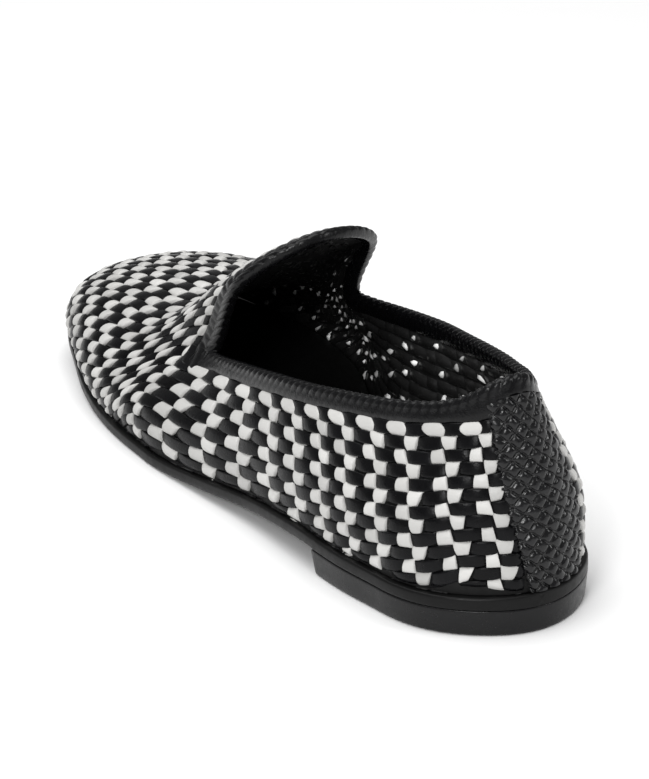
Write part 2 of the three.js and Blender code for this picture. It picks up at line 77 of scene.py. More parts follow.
# Sections of the last: at, centre, half, belly, shoulder half, aside, shoulder up, tilt, haunch half,
# haunch up, crown up, lean; shares of the sizes above
SECTIONS = np.array([
    [0.000, 0.000, 0.315, 0.003, 0.160, 0.010, 1.013, 0.000, 0.232, 1.040, 1.00, 0.046],
    [0.050, 0.007, 0.342, 0.003, 0.172, 0.010, 0.890, 0.004, 0.215, 0.970, 1.00, 0.038],
    [0.130, 0.020, 0.351, 0.005, 0.216, 0.008, 0.808, 0.014, 0.196, 0.890, 1.00, 0.016],
    [0.200, 0.033, 0.366, 0.010, 0.260, 0.002, 0.752, 0.016, 0.223, 0.830, 1.00, 0.003],
    [0.300, 0.043, 0.364, 0.012, 0.306, -0.008, 0.675, 0.018, 0.261, 0.770, 1.00, 0.000],
    [0.400, 0.055, 0.353, 0.012, 0.327, -0.025, 0.638, 0.024, 0.283, 0.760, 1.00, -0.012],
    [0.500, 0.045, 0.387, 0.010, 0.315, -0.037, 0.613, 0.040, 0.261, 0.790, 1.01, -0.050],
    [0.597, 0.007, 0.448, 0.008, 0.286, -0.038, 0.587, 0.064, 0.252, 0.880, 1.03, -0.129],
    [0.628, -0.012, 0.465, 0.009, 0.296, -0.042, 0.568, 0.058, 0.252, 0.840, 0.985, -0.129],
    [0.660, -0.029, 0.480, 0.010, 0.322, -0.047, 0.520, 0.048, 0.247, 0.735, 0.875, -0.115],
    [0.700, -0.046, 0.489, 0.012, 0.370, -0.052, 0.425, 0.036, 0.255, 0.565, 0.680, -0.088],
    [0.740, -0.059, 0.488, 0.015, 0.402, -0.056, 0.355, 0.026, 0.266, 0.445, 0.522, -0.060],
    [0.800, -0.072, 0.472, 0.016, 0.408, -0.063, 0.305, 0.016, 0.264, 0.380, 0.434, -0.016],
    [0.880, -0.072, 0.449, 0.016, 0.395, -0.061, 0.232, 0.008, 0.250, 0.282, 0.316, 0.013],
    [0.950, -0.056, 0.460, 0.014, 0.373, -0.052, 0.128, 0.000, 0.230, 0.150, 0.166, 0.020],
    [0.980, -0.045, 0.455, 0.012, 0.345, -0.045, 0.061, 0.000, 0.205, 0.068, 0.075, 0.007],
    [1.000, -0.038, 0.445, 0.010, 0.330, -0.038, 0.000, 0.000, 0.190, 0.000, 0.000, 0.000],
])


def section_row(share):
    """Cubic through the table's rows, with straight ends."""
    at = SECTIONS[:, 0]
    last = len(at) - 1
    i = int(np.clip(np.searchsorted(at, share, side="right"), 1, last))
    t0, t1 = at[i - 1], at[i]
    before, t_before = (SECTIONS[i - 2], at[i - 2]) if i > 1 else (SECTIONS[i], t1)
    after, t_after = (SECTIONS[i + 1], at[i + 1]) if i < last else (SECTIONS[i - 1], t0)
    half = (t1 - t0) / 2
    wp, wn = half / (t0 - t_before), half / (t_after - t1)
    p = (share - t0) / (t1 - t0)
    sp = -wp * p ** 3 + 2 * wp * p ** 2 - wp * p
    s0 = (1 + wp) * p ** 3 + (-1.5 - 2 * wp) * p ** 2 + (-0.5 + wp) * p + 1
    s1 = (-1 - wn) * p ** 3 + (1.5 + wn) * p ** 2 + 0.5 * p
    sn = wn * p ** 3 - wn * p ** 2
    return sp * before + s0 * SECTIONS[i - 1] + s1 * SECTIONS[i] + sn * after


def round_ends(share):
    """Share of the width that is left in the round of heel and toe."""
    if share < HEEL_ROUND:
        return math.sqrt(max(0.0, 1 - (1 - share / HEEL_ROUND) ** 2))
    if share > TOE_ROUND:
        return math.sqrt(max(0.0, 1 - ((share - TOE_ROUND) / (1 - TOE_ROUND)) ** 2))
    return 1.0


def ease(x):
    x = np.clip(x, 0, 1)
    return x * x * (3 - 2 * x)


def sole_bottom(share):
    arch = HEEL_LIFT * (1 - ease((share - BREAST) / (TREAD_BACK - BREAST)))
    toe = np.maximum(0, (share - TREAD_FRONT) / (1 - TREAD_FRONT))
    return arch + TOE_SPRING * toe ** SPRING_CURVE


def footprint(share, inset):
    """x, centre and half width of the footprint, drawn in by inset."""
    row = section_row(share)
    half = (row[2] * BALL_WIDTH - inset) * round_ends(share)
    return -LENGTH / 2 + inset + share * (LENGTH - 2 * inset), row[1] * BALL_WIDTH, half


def section_points(share):
    """Points of a section, from the outer feather over the ridge to the inner feather."""
    belly, shoulder, aside, shoulder_up, tilt, haunch, haunch_up, crown, lean = section_row(share)[3:]
    x, foot_centre, foot_half = footprint(share, SOLE_EDGE)
    turn = round_ends(share)
    base = sole_bottom(share) + OUTSOLE_THICKNESS + GAP
    crown_up = crown * TONGUE_RISE
    up, lift, aside = shoulder_up * COLLAR_RISE, tilt * COLLAR_RISE, aside * BALL_WIDTH

    def place(side, half, middle, height, raised):
        climb = height / crown_up if crown_up > 0 else 0
        return [x + lean * LENGTH * climb * climb, middle + side * half, base + height - side * raised]

    sides = [[
        place(side, foot_half, foot_centre, 0, 0),
        place(side, foot_half + belly * BALL_WIDTH * turn,
              foot_centre + (aside - foot_centre) * BELLY_ASIDE, BELLY_HEIGHT * up, 0),
        place(side, shoulder * BALL_WIDTH * turn, aside, up, lift),
        place(side, haunch * BALL_WIDTH * turn, aside, haunch_up * TONGUE_RISE, lift * HAUNCH_TILT),
    ] for side in (1, -1)]
    return np.array(sides[0] + [place(1, 0, aside, crown_up, 0)] + sides[1][::-1])


SEGMENT_STEPS = 12
OUTER_SHOULDER = 2 * SEGMENT_STEPS
INNER_SHOULDER = 6 * SEGMENT_STEPS
SHORTEST = 1e-4


def smooth_line(points):
    """Centripetal curve through the points."""
    p = np.vstack([2 * points[0] - points[1], points, 2 * points[-1] - points[-2]])
    w = (np.arange(SEGMENT_STEPS) / SEGMENT_STEPS)[:, None]
    out = []
    for i in range(len(points) - 1):
        x0, x1, x2, x3 = p[i:i + 4]
        d0, d1, d2 = (np.linalg.norm(b - a) ** 0.5 for a, b in ((x0, x1), (x1, x2), (x2, x3)))
        d1 = d1 if d1 > SHORTEST else 1.0
        d0, d2 = (d if d > SHORTEST else d1 for d in (d0, d2))
        a = ((x1 - x0) / d0 - (x2 - x0) / (d0 + d1) + (x2 - x1) / d1) * d1
        b = ((x2 - x1) / d1 - (x3 - x1) / (d1 + d2) + (x3 - x2) / d2) * d1
        square, cube = -3 * x1 + 3 * x2 - 2 * a - b, 2 * x1 - 2 * x2 + a + b
        out.append(x1 + a * w + square * w ** 2 + cube * w ** 3)
    return np.vstack(out + [points[-1:]])


def run_along(points):
    return np.concatenate([[0], np.cumsum(np.linalg.norm(np.diff(points, axis=0), axis=1))])


def resample(line, count):
    """The line in even steps, and its length."""
    run = run_along(line)
    at = np.linspace(0, run[-1], count)
    return np.stack([np.interp(at, run, line[:, k]) for k in range(3)], 1), run[-1]


# The walk: 0 at the back of the heel, 1 where the heel's turn ends, then on to the tip of the toe
TOE_TURN = 1 - TOE_ROUND
WALK_RATE = HEEL_ROUND * math.pi / 2
WALK_STRAIGHT = 1 + (TOE_ROUND - HEEL_ROUND) / WALK_RATE
WALK_END = WALK_STRAIGHT + TOE_TURN * math.pi / 2 / WALK_RATE
TIP_STEP = 0.06
WALK_TIP = WALK_END - TIP_STEP


def share_of_walk(walk):
    way = np.abs(walk)
    toe = np.clip((way - WALK_STRAIGHT) * WALK_RATE / TOE_TURN, 0, math.pi / 2)
    return np.where(way < 1, HEEL_ROUND * (1 - np.cos(way * math.pi / 2)),
                    np.where(way < WALK_STRAIGHT, HEEL_ROUND + (way - 1) * WALK_RATE,
                             TOE_ROUND + TOE_TURN * np.sin(toe)))


def walk_of_share(share):
    return 1 + (share - HEEL_ROUND) / WALK_RATE


# The last as tables over the walk: both walls from the feather up, and the arch from outer to inner
TABLE_WALKS, TABLE_WALL, TABLE_ARCH = 701, 49, 145
WALKS = np.linspace(0, WALK_TIP, TABLE_WALKS)
outer_wall, inner_wall, arch = [], [], []
for share in share_of_walk(WALKS):
    line = smooth_line(section_points(float(share)))
    outer_wall.append(resample(line[:OUTER_SHOULDER + 1], TABLE_WALL))
    arch.append(resample(line[OUTER_SHOULDER:INNER_SHOULDER + 1], TABLE_ARCH))
    inner_wall.append(resample(line[INNER_SHOULDER:][::-1], TABLE_WALL))
OUTER, OUTER_LEN = (np.array(v) for v in zip(*outer_wall))
INNER, INNER_LEN = (np.array(v) for v in zip(*inner_wall))
ARCH, ARCH_LEN = (np.array(v) for v in zip(*arch))


def look_up(table, walk, part):
    """Point of a table at a walk and at a part of the way across."""
    a = np.clip(np.abs(walk) / WALK_TIP, 0, 1) * (len(table) - 1)
    b = np.clip(part, 0, 1) * (table.shape[1] - 1)
    i = np.minimum(a.astype(int), len(table) - 2)
    j = np.minimum(b.astype(int), table.shape[1] - 2)
    f, g = (a - i)[..., None], (b - j)[..., None]
    near = table[i, j] * (1 - g) + table[i, j + 1] * g
    far = table[i + 1, j] * (1 - g) + table[i + 1, j + 1] * g
    return near * (1 - f) + far * f


def length_at(lengths, walk):
    return np.interp(np.abs(walk), WALKS, lengths)


def wall_length(walk):
    return np.where(walk >= 0, length_at(OUTER_LEN, walk), length_at(INNER_LEN, walk))


def wall(walk, part):
    """Wall of the quarters and vamp: part 0 at the feather, 1 at the shoulder; walk is negative inside."""
    return np.where((walk >= 0)[..., None], look_up(OUTER, walk, part), look_up(INNER, walk, part))


def lift(face, u, v, height, du, dv, swap=False):
    """Points of a face moved along its outward normal."""
    u, v, height = np.broadcast_arrays(*(np.asarray(value, float) for value in (u, v, height)))
    point = face(u, v)
    along_u = face(u + du, v) - face(u - du, v)
    along_v = face(u, v + dv) - face(u, v - dv)
    normal = np.cross(along_u, along_v) if swap else np.cross(along_v, along_u)
    size = np.linalg.norm(normal, axis=-1, keepdims=True)
    return point + normal / np.maximum(size, TINY) * height[..., None]


# Half steps over which a normal is measured, and the part of the wall whose rise goes on past the shoulder
WALL_STEP = (0.02, 0.02)
ARCH_STEP = (0.03, 0.02)
CELL_STEP = (0.06, 0.06)
RISE_FROM = 0.96


def on_wall(walk, part, height):
    """Point of the wall at a height off it; past the shoulder the wall goes straight on."""
    def face(u, v):
        over = np.maximum(v - 1, 0)[..., None] * wall_length(u)[..., None]
        rise = wall(u, np.ones_like(v)) - wall(u, np.full_like(v, RISE_FROM))
        rise = rise / np.maximum(np.linalg.norm(rise, axis=-1, keepdims=True), TINY)
        return wall(u, np.minimum(v, 1)) + rise * over
    return lift(face, walk, part, height, *WALL_STEP)


def on_arch(walk, part, height):
    return lift(lambda u, v: look_up(ARCH, u, v), walk, part, height, *ARCH_STEP)


def ridge_point(share):
    return look_up(ARCH, np.array(walk_of_share(share)), np.array(0.5))


# The weave of the vamp begins in front of the tongue's binding
SEARCH_STEP = 0.0005
throat_walk = walk_of_share(THROAT)
vamp_share = THROAT
while np.linalg.norm(ridge_point(vamp_share) - ridge_point(THROAT)) < BINDING_WIDTH + GAP:
    vamp_share += SEARCH_STEP
arch_walk = walk_of_share(vamp_share)

# Rows and columns of the weave. Rows are counted from the ridge of the vamp, positive on the outer side;
# beside the collar the same rows run along the band. Columns are counted forward from the tongue's edge.
STRIP = 4.4
PITCH = 4.12
TOE_PITCH = 3.95
FIRST_ROW = 13
MOST_ROWS = 40
UNIT = 3
EVEN_WALK = 4.05
BELT = 0.4
FORE_STEPS = 400
half_arch = float(length_at(ARCH_LEN, arch_walk)) / 2
ARCH_PITCH = (half_arch + BAND_HEIGHT) / FIRST_ROW


def even_walks(points, walks, count):
    """Places of the walk at even distances along a line of points, and the line's length."""
    run = run_along(points)
    return np.interp(np.linspace(0, run[-1], count + 1), run, walks), run[-1]


fore = np.linspace(arch_walk, WALK_TIP, FORE_STEPS)
ridge = look_up(ARCH, fore, np.full(FORE_STEPS, 0.5))
belt = look_up(OUTER, fore, np.full(FORE_STEPS, BELT))
FORE_COLUMNS = UNIT * round(np.mean([even_walks(line, fore, 1)[1] for line in (ridge, belt)]) / STRIP / UNIT)
fore_numbers = np.arange(FORE_COLUMNS + 1)
belt_walks = even_walks(belt, fore, FORE_COLUMNS)[0]
ridge_walks = (even_walks(ridge, fore, FORE_COLUMNS)[0] + belt_walks) / 2

# Where the columns of the quarters stand under the band: the walk at each column, from the counter forward
QUARTER_COLUMNS = {1: 33, -1: 30}
OUTER_WALKS = np.array([0.16, 0.473, 0.746, 1.03, 1.29, 1.545, 1.77, 2.025, 2.27, 2.56, 2.86, 3.24,
                        arch_walk])
OUTER_COLUMNS = np.array([-35, -31.5, -28.5, -25.5, -22.5, -19.5, -16.5, -13.5, -10.5, -7.5, -4.5, -1.5, 0])
INNER_WALKS = np.array([0.30, 0.48, arch_walk])
INNER_COLUMNS = np.array([-32, -30, 0])

# Lower down the columns lean back to the heel. By the counter they settle: the share that does, the column
# where it begins and the columns it takes.
BAND_PART = 0.87
LEAN_PART = 0.62
LEAN_LIMITS = (-0.3, 1.3)
LEAN_CURVE = 0.6
LEAN = 0.26
LEAN_COLUMNS = 18
OUTER_SETTLE = (0.35, 24, 9)
INNER_SETTLE = (1.0, 18, 12)


def column_walk(column, side, part=BAND_PART):
    """Walk of a column of the quarters at a part of the wall's height."""
    top = np.where(side > 0, np.interp(column, OUTER_COLUMNS, OUTER_WALKS),
                   np.interp(column, INNER_COLUMNS, INNER_WALKS))
    down = np.clip((BAND_PART - part) / LEAN_PART, *LEAN_LIMITS)
    outer, inner = (share * ease((-column - start) / span)
                    for share, start, span in (OUTER_SETTLE, INNER_SETTLE))
    lean = LEAN * ease(-column / LEAN_COLUMNS) * (1 - np.where(side > 0, outer, inner))
    return top - lean * down * (1 + LEAN_CURVE - LEAN_CURVE * down)


def from_ridge(row, walk):
    """Distance of a row from the ridge of the vamp: wide steps over the tongue, even ones by the toe."""
    back = np.where(row < FIRST_ROW, row * ARCH_PITCH, FIRST_ROW * ARCH_PITCH + (row - FIRST_ROW) * PITCH)
    t = np.clip((walk - arch_walk) / (EVEN_WALK - arch_walk), 0, 1)
    t = t * (2 - t)
    return back * (1 - t) + t * TOE_PITCH * row


def girth(walk, side):
    return length_at(ARCH_LEN, walk) / 2 + wall_length(side * walk)


# Beside the counter the collar rises, while the rows stay level
COLLAR_UP = (0.75, 0.5)
LEVEL_DROP = 4.0


def by_counter(walk):
    """1 at the counter, fading to 0 forward."""
    start, span = COLLAR_UP
    return ease((start - walk) / span)


def band_depth(walk, side):
    """Depth of the first row under the shoulder line."""
    return BAND_HEIGHT + LEVEL_DROP * by_counter(walk) * (side > 0)


def weave_face(column, row):
    """Point of the upper at a column and row of the weave."""
    side = np.where(row >= 0, 1.0, -1.0)
    walk = column_walk(column, side)
    depth = (np.abs(row) - FIRST_ROW) * PITCH + band_depth(walk, side)
    walk = column_walk(column, side, 1 - depth / wall_length(side * walk))
    quarter = wall(side * walk, 1 - depth / wall_length(side * walk))
    low = np.interp(column, fore_numbers, belt_walks)
    high = np.interp(column, fore_numbers, ridge_walks)
    climb = np.clip(1 - from_ridge(np.abs(row), low) / girth(low, side), 0, 1)
    at = low + (high - low) * ease(climb)
    away = from_ridge(np.abs(row), at)
    half = length_at(ARCH_LEN, at) / 2
    top = look_up(ARCH, at, 0.5 - side * away / np.maximum(2 * half, TINY))
    under = wall(side * at, 1 - (away - half) / wall_length(side * at))
    vamp = np.where((away < half)[..., None], top, under)
    return np.where((column < 0)[..., None], quarter, vamp)


def weave_point(column, row, height):
    return lift(weave_face, column, row, height, *CELL_STEP, swap=True)


# The row at which the weave meets the sole, on each side, as tables over the walk
FOOT_PART = 0.1
row_steps = np.linspace(0, MOST_ROWS, 10 * MOST_ROWS + 1)
reach_table = {side: [float(np.interp(girth(w, side), from_ridge(row_steps, w), row_steps)) for w in fore]
               for side in (1, -1)}


def row_reach(column, side):
    walk = column_walk(column, side, FOOT_PART)
    quarter = FIRST_ROW + (wall_length(side * walk) - band_depth(walk, side)) / PITCH
    at = np.interp(column, fore_numbers, belt_walks)
    vamp = np.where(side > 0, np.interp(at, fore, reach_table[1]), np.interp(at, fore, reach_table[-1]))
    return np.where(column < 0, quarter, vamp)


# The sections lie on the last's own middle line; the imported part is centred, so pieces move aside by this
WIDE_SHARES = np.linspace(0.4, 0.95, 56)
SIDE_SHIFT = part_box("outsole")[0].y / MILLIMETRE - min(
    footprint(share, 0)[1] - footprint(share, 0)[2] for share in WIDE_SHARES)
PLAIN_TONE = 0.5


# Meshes
def shown(name, points, faces, material, node, tone=None):
    """A mesh piece from points in millimetres, smooth shaded, riding on the part."""
    mesh = bpy.data.meshes.new(name)
    placed = (np.asarray(points).reshape(-1, 3) + [0, SIDE_SHIFT, 0]) * MILLIMETRE
    mesh.from_pydata(placed.tolist(), [], faces if isinstance(faces, list) else faces.tolist())
    mesh.update()
    mesh.polygons.foreach_set("use_smooth", [True] * len(mesh.polygons))
    values = tone if tone is not None else np.full(len(placed), PLAIN_TONE)
    mesh.attributes.new("tone", "FLOAT", "POINT").data.foreach_set("value", np.asarray(values, np.float32))
    piece = bpy.data.objects.new(name, mesh)
    bpy.context.collection.objects.link(piece)
    mesh.materials.append(material)
    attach(piece, "root")
    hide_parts(node)


def grid_faces(rows, columns, wrap=False):
    i, j = np.meshgrid(np.arange(rows - 1), np.arange(columns if wrap else columns - 1), indexing="ij")
    k = (j + 1) % columns
    corners = [i * columns + j, i * columns + k, (i + 1) * columns + k, (i + 1) * columns + j]
    return np.stack(corners, -1).reshape(-1, 4)


def swept(rings):
    """Points and faces of closed rings, one after another, with a fan over each end."""
    count, size = rings.shape[:2]
    points = np.vstack([rings.reshape(-1, 3), rings[0].mean(0), rings[-1].mean(0)])
    faces = grid_faces(count, size, wrap=True).tolist()
    first, last = np.arange(size), (count - 1) * size + np.arange(size)
    for hub, ring, way in ((count * size, first, 1), (count * size + 1, last, -1)):
        for a, b in zip(ring, np.roll(ring, -1)):
            faces.append([hub, int(b), int(a)] if way > 0 else [hub, int(a), int(b)])
    return points, faces


# Scales of the leather's noises, and how far they go
MOTTLE_SCALE = 140
GLOSS_SCALE = 420
GLOSS_SPREAD = 0.3
PORE_SCALE = 1500
PORE_SHARE = 0.5
CREASE_SCALE = 900
GRAIN_DEPTH = 0.0005


def leather(name, color, roughness, shine, grain, contrast, mottle):
    """Grained leather: tone from the mesh's own attribute, slow mottling, fine pores and creases."""
    material = bpy.data.materials.new(name)
    material.use_nodes = True
    nodes, links = material.node_tree.nodes, material.node_tree.links
    shader = nodes["Principled BSDF"]
    shader.inputs["Specular IOR Level"].default_value = shine
    place = nodes.new("ShaderNodeTexCoord")

    def noise(scale, detail):
        node = nodes.new("ShaderNodeTexNoise")
        node.inputs["Scale"].default_value = scale
        node.inputs["Detail"].default_value = detail
        links.new(place.outputs["Object"], node.inputs["Vector"])
        return node.outputs["Fac"]

    def math_node(kind, *values):
        node = nodes.new("ShaderNodeMath")
        node.operation = kind
        for socket, value in zip(node.inputs, values):
            if isinstance(value, (int, float)):
                socket.default_value = value
            else:
                links.new(value, socket)
        return node.outputs[0]

    def about(level, source, spread):
        """A level that follows a source, which runs from 0 to 1, up and down."""
        return math_node("MULTIPLY_ADD", math_node("SUBTRACT", source, 0.5), spread, level)

    # the tone attribute holds random tones of the strips, and painted shade in the grooves of braids, folds
    # and counter
    tone = nodes.new("ShaderNodeAttribute")
    tone.attribute_name = "tone"
    light = about(1.0, tone.outputs["Fac"], contrast * 2)
    spots = about(1.0, noise(MOTTLE_SCALE, 3), mottle * 2)
    tint = nodes.new("ShaderNodeVectorMath")
    tint.operation = "SCALE"
    tint.inputs[0].default_value = color
    links.new(math_node("MULTIPLY", light, spots), tint.inputs["Scale"])
    links.new(tint.outputs[0], shader.inputs["Base Color"])
    links.new(about(roughness, noise(GLOSS_SCALE, 2), GLOSS_SPREAD), shader.inputs["Roughness"])
    pores = nodes.new("ShaderNodeTexVoronoi")
    pores.inputs["Scale"].default_value = PORE_SCALE
    links.new(place.outputs["Object"], pores.inputs["Vector"])
    pore_height = math_node("MULTIPLY", pores.outputs["Distance"], PORE_SHARE)
    bump = nodes.new("ShaderNodeBump")
    bump.inputs["Strength"].default_value = grain
    bump.inputs["Distance"].default_value = GRAIN_DEPTH
    links.new(math_node("ADD", pore_height, noise(CREASE_SCALE, 4)), bump.inputs["Height"])
    links.new(bump.outputs["Normal"], shader.inputs["Normal"])
    return material


FINISHES = {
    # colour, roughness, shine, grain, contrast of the tones, mottling
    "white_leather": ((0.52, 0.515, 0.50), 0.5, 0.5, 0.12, 0.2, 0.1),
    # white corners inside: the white leather painted brighter than outside, as painted light where the lamps
    # hardly reach
    "glint_leather": ((0.8, 0.8, 0.79), 0.4, 0.5, 0.12, 0.9, 0.2),
    "black_leather": ((0.0025, 0.0025, 0.003), 0.3, 0.13, 0.12, 0.5, 0.3),
    "braid_leather": ((0.003, 0.003, 0.0035), 0.27, 0.22, 0.12, 0.5, 0.4),
    # inside strips: the black leather painted several times lighter, as painted light where the lamps hardly
    # reach
    "inside_leather_painted_lit": ((0.014, 0.014, 0.014), 0.35, 0.6, 0.12, 0.6, 0.3),
    "counter_leather": ((0.003, 0.003, 0.0035), 0.24, 0.36, 0.12, 0.6, 0.5),
    "lining_leather": ((0.006, 0.006, 0.006), 0.65, 0.2, 0.12, 0.2, 0.3),
    "sole_leather": ((0.004, 0.004, 0.004), 0.4, 0.16, 0.06, 0.25, 0.3),
    "heel_leather": ((0.005, 0.005, 0.0055), 0.3, 0.24, 0.05, 0.25, 0.35),
}
finish = {name: leather(name, *values) for name, values in FINISHES.items()}

# The weave's cells, each as from column, to column, from row, to row. In each unit of three columns one
# white column shows in the even rows, the other in the odd ones. A cell with too little room above the sole
# is left out.
ROOM = {"white": 0.55, "black": 0.25}
cells = {"white": [], "black": [], "lens": []}
for side in (1, -1):
    first = -QUARTER_COLUMNS[side]
    for start in range(first - UNIT, FORE_COLUMNS, UNIT):
        for step in range(MOST_ROWS):
            row = step if side > 0 else -step - 1
            odd = (row - FIRST_ROW) % 2
            for kind, low, wide in (("white", start + 1 - odd, 1), ("black", start + 2 - odd, 2)):
                middle = low + wide / 2
                by_tongue = middle < 0 and step < FIRST_ROW
                under_counter = start < first and kind == "white"
                if by_tongue or under_counter or middle > FORE_COLUMNS:
                    continue
                if step + ROOM[kind] > row_reach(middle, side):
                    continue
                is_lens = kind == "white" and step == FIRST_ROW and not odd and middle < 0 and side > 0
                cells["lens" if is_lens else kind].append((low, low + wide, row, row + 1))

# Shares of a pad's half width and half length at which it has points
ACROSS = np.array([-1, -0.97, -0.78, -0.4, 0, 0.4, 0.78, 0.97, 1])
ALONG = np.array([-1, -0.84, -0.62, -0.32, 0, 0.32, 0.62, 0.84, 1])
COARSE = np.array([-1, -0.8, 0, 0.8, 1])

# How far single strips stray, in cells, and shares of their width and height
STRAY = 0.05
ROW_WIDTH_STRAY, ROW_SLANT_STRAY, ROW_TURN_STRAY = 0.1, 0.12, 0.06
COLUMN_WIDTH_STRAY, COLUMN_TURN_STRAY, COLUMN_SLANT_STRAY = 0.05, 0.05, 0.07
HEIGHT_STRAY = 0.14
TONE_STRAY = 0.2
ODD_SLANT = 0.1
ODD_TAPER = 0.3

# The dome of a pad, and the cells over which pads sink at the sole, the tongue's binding and the counter
DOME_CURVE = 0.62
EDGE_FALL = 0.16
CROSS_TILT = 0.05
TONGUE_EDGE = 0.08
SOLE_FADE = 0.4
TONGUE_FADE = (0.15, 0.9)
COUNTER_FADE = (0.8, 0.5)
INSIDE_GAP = 0.1


def strip_pads(cell_list, runs, peak, overlap, fill, dip=-0.55, lens=0.0, taper=0.0, inside=False):
    """Domed strip tops, one for each cell: runs is the way the strip goes, 'row' up and down or 'column'."""
    across, along = (COARSE, COARSE) if inside else (ACROSS, ALONG)
    box = np.array(cell_list, float)[:, :, None, None]
    count = len(box)
    a, b = np.meshgrid(across, along)

    def vary(size):
        return chance.uniform(-size, size, (count, 1, 1))

    column, row = (box[:, 0] + box[:, 1]) / 2 + vary(STRAY), (box[:, 2] + box[:, 3]) / 2 + vary(STRAY)
    half_column, half_row = (box[:, 1] - box[:, 0]) / 2, (box[:, 3] - box[:, 2]) / 2
    up = -np.sign(row)
    bulge = 1 - lens * b ** 2
    if runs == "row":
        odd = (np.floor(box[:, 2]) - FIRST_ROW) % 2
        narrowing = 1 + taper * (odd - ODD_TAPER) * b * up
        width = half_column * (fill + vary(ROW_WIDTH_STRAY)) * bulge * narrowing
        slant = vary(ROW_SLANT_STRAY) - ODD_SLANT * odd * up
        length = half_row * (1 + 2 * overlap)
        c, r = column + width * a + slant * b, row + length * b + vary(ROW_TURN_STRAY) * a
    else:
        length = half_column + overlap
        width = half_row * (fill + vary(COLUMN_WIDTH_STRAY)) * bulge
        c = column + length * b + vary(COLUMN_TURN_STRAY) * a
        r = row + width * a + vary(COLUMN_SLANT_STRAY) * b
    fore_cell = (box[:, 0] + box[:, 1] >= 0) & (np.abs(row) < FIRST_ROW)
    c = np.minimum(np.where(fore_cell, np.maximum(c, TONGUE_EDGE), c), FORE_COLUMNS)
    side = np.sign(row) * np.ones_like(c)
    top = peak * (1 + vary(HEIGHT_STRAY))
    dome = np.maximum(0, 1 - b ** 2) ** DOME_CURVE
    height = dip + (top - dip) * dome - EDGE_FALL * a ** 4 - CROSS_TILT * a * vary(1.0)
    height = np.where(np.abs(a) == 1, dip, height)
    last = np.where(side > 0, QUARTER_COLUMNS[1], QUARTER_COLUMNS[-1])
    by_sole = np.clip((row_reach(c, side) - np.abs(r)) / SOLE_FADE, 0, 1)
    by_tongue = np.where(fore_cell, ease((c + TONGUE_FADE[0]) / TONGUE_FADE[1]), 1)
    by_seam = np.clip((c + last + COUNTER_FADE[0]) / COUNTER_FADE[1], 0, 1)
    height = dip + (height - dip) * (by_sole * by_tongue * by_seam)
    if inside:
        height = -WALL - INSIDE_GAP - height
    points = weave_point(c, r, height)
    faces = grid_faces(len(along), len(across))
    faces = (np.arange(count)[:, None, None] * a.size + faces[None]).reshape(-1, 4)
    tone = np.repeat(np.clip(PLAIN_TONE + chance.normal(0, TONE_STRAY, count), 0, 1), a.size)
    return points.reshape(-1, 3), faces, tone


def show_pads(name, material, *groups):
    """One piece of one or more groups of pads."""
    points, faces, tones = zip(*groups)
    starts = np.cumsum([0] + [len(group) for group in points[:-1]])
    faces = np.concatenate([group + start for group, start in zip(faces, starts)])
    shown(name, np.concatenate(points), faces, material, "upper", tone=np.concatenate(tones))


show_pads("weave_white", finish["white_leather"],
          strip_pads(cells["white"], "row", peak=1.0, overlap=0.16, fill=0.98, dip=-0.8, taper=0.45),
          strip_pads(cells["lens"], "row", peak=0.85, overlap=0.14, fill=1.85, lens=0.6))
show_pads("weave_black", finish["black_leather"],
          strip_pads(cells["black"], "column", peak=0.8, overlap=0.2, fill=0.98, dip=-0.8, lens=0.08))

# Inside, the same strips are dark, with a white corner showing here and there, clear of the tongue's lining
LINED_ROWS = 8
WOVEN_INSIDE = 26
GLINT_SHARE = 0.8
GLINT_BACK, GLINT_FRONT = 0.1, (0.4, 0.8)
GLINT_LOW, GLINT_HIGH = 0.2, (0.1, 0.5)
every = cells["black"] + cells["white"] + cells["lens"]
inner_cells = [cell for cell in every if cell[0] < (WOVEN_INSIDE if cell[2] < 0 else 0)]
# these inside strips are painted lighter than the black strips outside: painted light where the lamps hardly
# reach
show_pads("weave_inside", finish["inside_leather_painted_lit"],
          strip_pads(inner_cells, "column", peak=0.35, overlap=0.1, fill=0.9, inside=True))
# the white corners are painted brighter than the white strips outside: painted light where the lamps hardly
# reach
glints = [(c0 + GLINT_BACK, c0 + chance.uniform(*GLINT_FRONT),
           r0 + GLINT_LOW, r1 - chance.uniform(*GLINT_HIGH))
          for c0, _, r0, r1 in cells["white"]
          if (c0 < 0 or c0 < WOVEN_INSIDE - 2 and r0 < -LINED_ROWS) and chance.random() < GLINT_SHARE]
show_pads("weave_glints", finish["glint_leather"],
          strip_pads(glints, "row", peak=0.85, overlap=0.1, fill=0.9, lens=0.4, inside=True))


def sheet(name, face, walks, parts, height):
    """A smooth dark sheet of the upper at one height."""
    u, v = np.meshgrid(walks, parts, indexing="ij")
    points = face(u, v, np.full_like(u, height))
    shown(name, points, grid_faces(*u.shape), finish["lining_leather"], "upper")


# The dark core between the strips' two faces, and the lining under the tongue
CORE = {"core_outer": -0.42, "core_inner": -1.9}
LINING_DEPTH = WALL + 0.2
LINING_STEPS = 60
around = np.linspace(-WALK_TIP, WALK_TIP, 420)
forward = np.linspace(arch_walk, WALK_TIP, 130)
wall_parts, arch_parts = np.linspace(0, 1, 24), np.linspace(0, 1, 60)
for name, height in CORE.items():
    sheet(name + "_wall", on_wall, around, wall_parts, height)
    sheet(name + "_vamp", on_arch, forward, arch_parts, height)
sheet("tongue_lining", on_arch, forward[:LINING_STEPS], arch_parts, -LINING_DEPTH)

# A braid's relief is a wave round this level; its tone varies a little from point to point
# Its tone is also painted darker in the grooves and lighter on the ridges of that wave: painted shade
WAVE_LEVEL = 0.6
BRAID_STRAY = 0.05
HUB_TONE = 0.4


